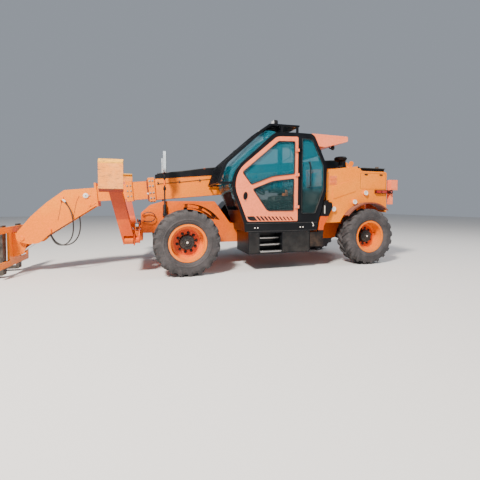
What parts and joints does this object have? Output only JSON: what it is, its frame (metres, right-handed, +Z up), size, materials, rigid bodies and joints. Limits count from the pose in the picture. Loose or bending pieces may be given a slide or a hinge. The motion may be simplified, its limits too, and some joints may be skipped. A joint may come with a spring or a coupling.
{
  "type": "telehandler",
  "caption": "Telescopic handler with a side cab, a three-section boom that lifts and reaches, pallet forks, folding front stabilisers and four steered wheels.",
  "frame": {"origin": "on the ground at the middle of the overall length and width", "axes": "+X towards the rear (the forks point along -X), +Y towards the machine's right, +Z up"},
  "size_m": [8.578, 2.4, 2.7999],
  "materials": {
    "orange_paint": "satin",
    "salmon_paint": "gloss",
    "black_paint": "satin",
    "black_plastic": "matt",
    "tyre_rubber": "matt",
    "hose_rubber": "satin",
    "tinted_glass": "gloss",
    "seat_cloth": "matt",
    "engine_metal": "matt",
    "steel": "satin",
    "rod_chrome": "polished",
    "lamp_plastic": "gloss"
  },
  "bodies": {
    "chassis": {"chassis_frame": "orange_paint", "engine_block": "engine_metal", "engine_hoods": "orange_paint", "hood_grilles": "black_plastic", "side_tank": "black_paint", "cab_shell": "black_paint", "cab_glass": "tinted_glass", "cab_guard": "black_paint", "roof_visor": "salmon_paint", "seat": "seat_cloth", "console": "black_plastic", "step_box": "black_paint", "hydraulic_tank": "orange_paint", "front_axle": "black_paint", "rear_axle": "black_paint", "rear_fenders": "orange_paint", "tail_lamps": "salmon_paint", "roof_lamps": "lamp_plastic", "mirrors": "black_plastic", "air_precleaner": "black_plastic", "exhaust_pipe": "steel", "stabiliser_hose_left": "hose_rubber", "stabiliser_hose_right": "hose_rubber"},
    "door": {"cab_door": "salmon_paint", "door_glass": "tinted_glass"},
    "boom": {"boom_outer": "orange_paint", "hose_carrier": "black_paint"},
    "boom_middle_section": {"boom_middle": "orange_paint"},
    "boom_inner_section": {"boom_inner": "orange_paint", "head_hose_outer": "hose_rubber", "head_hose_inner": "hose_rubber"},
    "fork_carriage": {"carriage": "orange_paint", "forks": "black_paint"},
    "lift_cylinder": {"lift_barrel": "black_paint"},
    "lift_piston": {"lift_rod": "rod_chrome"},
    "tilt_cylinder": {"tilt_barrel": "black_paint"},
    "tilt_piston": {"tilt_rod": "rod_chrome"},
    "hub_carrier_front_left": {"knuckle_front_left": "black_paint", "fender_front_left": "black_paint"},
    "wheel_front_left": {"rim_front_left": "orange_paint", "tyre_front_left": "tyre_rubber"},
    "hub_carrier_front_right": {"knuckle_front_right": "black_paint", "fender_front_right": "black_paint"},
    "wheel_front_right": {"rim_front_right": "orange_paint", "tyre_front_right": "tyre_rubber"},
    "hub_carrier_rear_left": {"knuckle_rear_left": "black_paint"},
    "wheel_rear_left": {"rim_rear_left": "orange_paint", "tyre_rear_left": "tyre_rubber"},
    "hub_carrier_rear_right": {"knuckle_rear_right": "black_paint"},
    "wheel_rear_right": {"rim_rear_right": "orange_paint", "tyre_rear_right": "tyre_rubber"},
    "stabiliser_arm_left": {"stabiliser_arm_left": "orange_paint"},
    "stabiliser_foot_left": {"stabiliser_foot_left": "salmon_paint"},
    "stabiliser_barrel_left": {"stabiliser_barrel_left": "black_paint"},
    "stabiliser_rod_left": {"stabiliser_rod_left": "rod_chrome"},
    "stabiliser_arm_right": {"stabiliser_arm_right": "orange_paint"},
    "stabiliser_foot_right": {"stabiliser_foot_right": "salmon_paint"},
    "stabiliser_barrel_right": {"stabiliser_barrel_right": "black_paint"},
    "stabiliser_rod_right": {"stabiliser_rod_right": "rod_chrome"}
  },
  "joints": [
    {"name": "door_hinge", "type": "hinge", "parent": "chassis", "child": "door", "pos_m": [1.897, -1.148, 1.7], "axis": [0, 0, 1], "range_deg": [0, 95]},
    {"name": "steer_front_left", "type": "hinge", "parent": "chassis", "child": "hub_carrier_front_left", "pos_m": [-0.19, -0.82, 0.575], "axis": [0, 0, 1], "range_deg": [-35, 35]},
    {"name": "spin_front_left", "type": "hinge", "parent": "hub_carrier_front_left", "child": "wheel_front_left", "pos_m": [-0.19, -1, 0.575], "axis": [0, 1, 0], "continuous": true},
    {"name": "steer_front_right", "type": "hinge", "parent": "chassis", "child": "hub_carrier_front_right", "pos_m": [-0.19, 0.82, 0.575], "axis": [0, 0, 1], "range_deg": [-35, 35]},
    {"name": "spin_front_right", "type": "hinge", "parent": "hub_carrier_front_right", "child": "wheel_front_right", "pos_m": [-0.19, 1, 0.575], "axis": [0, 1, 0], "continuous": true},
    {"name": "steer_rear_left", "type": "hinge", "parent": "chassis", "child": "hub_carrier_rear_left", "pos_m": [3.53, -0.82, 0.575], "axis": [0, 0, 1], "range_deg": [-35, 35]},
    {"name": "spin_rear_left", "type": "hinge", "parent": "hub_carrier_rear_left", "child": "wheel_rear_left", "pos_m": [3.53, -1, 0.575], "axis": [0, 1, 0], "continuous": true},
    {"name": "steer_rear_right", "type": "hinge", "parent": "chassis", "child": "hub_carrier_rear_right", "pos_m": [3.53, 0.82, 0.575], "axis": [0, 0, 1], "range_deg": [-35, 35]},
    {"name": "spin_rear_right", "type": "hinge", "parent": "hub_carrier_rear_right", "child": "wheel_rear_right", "pos_m": [3.53, 1, 0.575], "axis": [0, 1, 0], "continuous": true},
    {"name": "boom_lift", "type": "hinge", "parent": "chassis", "child": "boom", "pos_m": [3.69, 0, 1.9], "axis": [0, 1, 0], "range_deg": [0, 65]},
    {"name": "boom_extend", "type": "slide", "parent": "boom", "child": "boom_middle_section", "axis": [-0.9962, 0, -0.0872], "range_m": [0, 3.3]},
    {"name": "inner_extend", "type": "slide", "parent": "boom_middle_section", "child": "boom_inner_section", "axis": [-0.9962, 0, -0.0872], "range_m": [0, 3.3]},
    {"name": "carriage_tilt", "type": "hinge", "parent": "boom_inner_section", "child": "fork_carriage", "pos_m": [-2.95, 0, 0.64], "axis": [0, -1, 0], "range_deg": [-15, 90]},
    {"name": "lift_cylinder_turn", "type": "hinge", "parent": "chassis", "child": "lift_cylinder", "pos_m": [3.01, 0, 0.85], "axis": [0, 1, 0], "range_deg": [0, 59.3]},
    {"name": "lift_rod_slide", "type": "slide", "parent": "lift_cylinder", "child": "lift_piston", "axis": [-0.9671, 0, 0.2543], "range_m": [0, 1.321]},
    {"name": "tilt_cylinder_turn", "type": "hinge", "parent": "boom_inner_section", "child": "tilt_cylinder", "pos_m": [-1.873, 0, 1.23261], "axis": [0, -1, 0], "range_deg": [-0.5, 2]},
    {"name": "tilt_rod_slide", "type": "slide", "parent": "tilt_cylinder", "child": "tilt_piston", "axis": [-0.8051, 0, -0.5931], "range_m": [-0.356, 0.06]},
    {"name": "stabiliser_left", "type": "hinge", "parent": "chassis", "child": "stabiliser_arm_left", "pos_m": [-1.158, -0.7, 0.615], "axis": [1, 0, 0], "range_deg": [0, 96.8]},
    {"name": "foot_left", "type": "hinge", "parent": "stabiliser_arm_left", "child": "stabiliser_foot_left", "pos_m": [-1.37959, -1.08054, 1.68961], "axis": [1, 0, 0], "range_deg": [-6.9, 0]},
    {"name": "ram_turn_left", "type": "hinge", "parent": "chassis", "child": "stabiliser_barrel_left", "pos_m": [-1.028, -0.08, 0.79], "axis": [1, 0, 0], "range_deg": [0, 16.6]},
    {"name": "ram_slide_left", "type": "slide", "parent": "stabiliser_barrel_left", "child": "stabiliser_rod_left", "axis": [0, -0.9863, 0.1649], "range_m": [0, 0.371]},
    {"name": "stabiliser_right", "type": "hinge", "parent": "chassis", "child": "stabiliser_arm_right", "pos_m": [-1.158, 0.7, 0.615], "axis": [-1, 0, 0], "range_deg": [0, 96.8]},
    {"name": "foot_right", "type": "hinge", "parent": "stabiliser_arm_right", "child": "stabiliser_foot_right", "pos_m": [-1.37959, 1.08054, 1.68961], "axis": [-1, 0, 0], "range_deg": [-6.9, 0]},
    {"name": "ram_turn_right", "type": "hinge", "parent": "chassis", "child": "stabiliser_barrel_right", "pos_m": [-1.028, 0.08, 0.79], "axis": [-1, 0, 0], "range_deg": [0, 16.6]},
    {"name": "ram_slide_right", "type": "slide", "parent": "stabiliser_barrel_right", "child": "stabiliser_rod_right", "axis": [0, 0.9863, 0.1649], "range_m": [0, 0.371]}
  ],
  "couplings": [
    {"joint": "steer_front_right", "follows": "steer_front_left", "ratio": 1},
    {"joint": "steer_rear_right", "follows": "steer_rear_left", "ratio": 1},
    {"joint": "inner_extend", "follows": "boom_extend", "ratio": 1},
    {"joint": "lift_cylinder_turn", "follows": "boom_lift", "ratio": 0.91018},
    {"joint": "lift_rod_slide", "follows": "boom_lift", "m_per_rad": 1.1631},
    {"joint": "tilt_cylinder_turn", "follows": "carriage_tilt", "ratio": 0.019242},
    {"joint": "tilt_rod_slide", "follows": "carriage_tilt", "m_per_rad": -0.22587},
    {"joint": "foot_left", "follows": "stabiliser_left", "ratio": -0.070248},
    {"joint": "ram_turn_left", "follows": "stabiliser_left", "ratio": 0.16982},
    {"joint": "ram_slide_left", "follows": "stabiliser_left", "m_per_rad": 0.21867},
    {"joint": "foot_right", "follows": "stabiliser_right", "ratio": -0.070248},
    {"joint": "ram_turn_right", "follows": "stabiliser_right", "ratio": 0.16982},
    {"joint": "ram_slide_right", "follows": "stabiliser_right", "m_per_rad": 0.21867}
  ]
}
